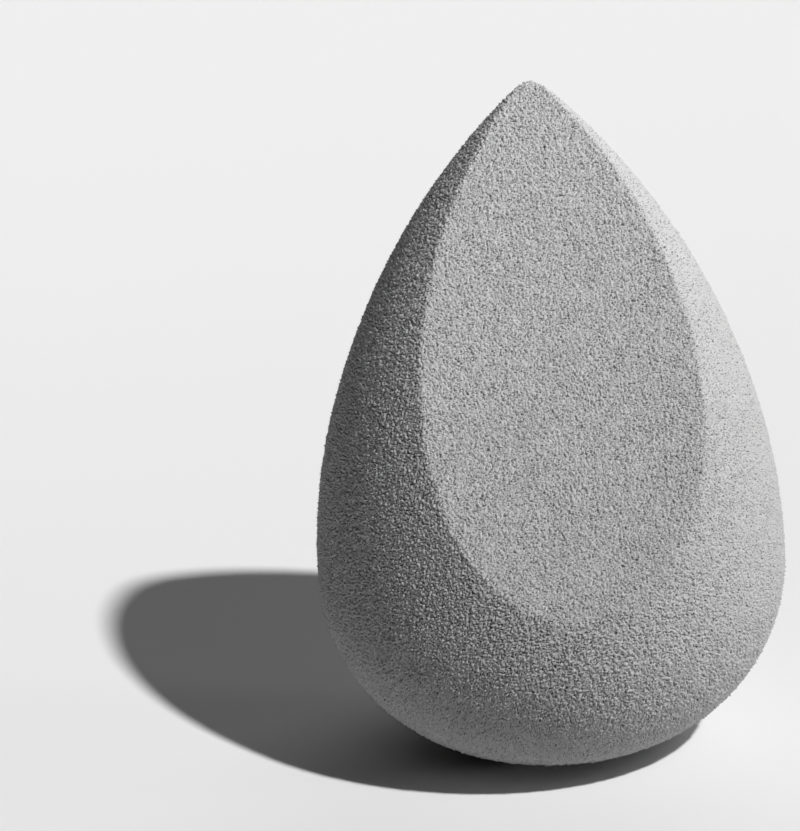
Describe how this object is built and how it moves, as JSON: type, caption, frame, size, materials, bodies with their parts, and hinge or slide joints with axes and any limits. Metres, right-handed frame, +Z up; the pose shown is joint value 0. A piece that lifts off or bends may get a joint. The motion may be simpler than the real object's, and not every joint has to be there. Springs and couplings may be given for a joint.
{
  "type": "makeup sponge",
  "caption": "Teardrop makeup sponge of fine open-cell foam with one slanted flat cut face, for dabbing and blending liquid makeup by hand.",
  "frame": {"origin": "middle of the small flat foot that the sponge stands on, below its tip and belly axis", "axes": "+Z up from the foot to the tip; the slanted cut face looks forwards along -Y and up"},
  "size_m": [0.0406, 0.0406, 0.0597],
  "materials": {
    "foam": "matte open-cell foam, neutral grey"
  },
  "bodies": {
    "root": {"foam_body": "foam"}
  },
  "joints": []
}
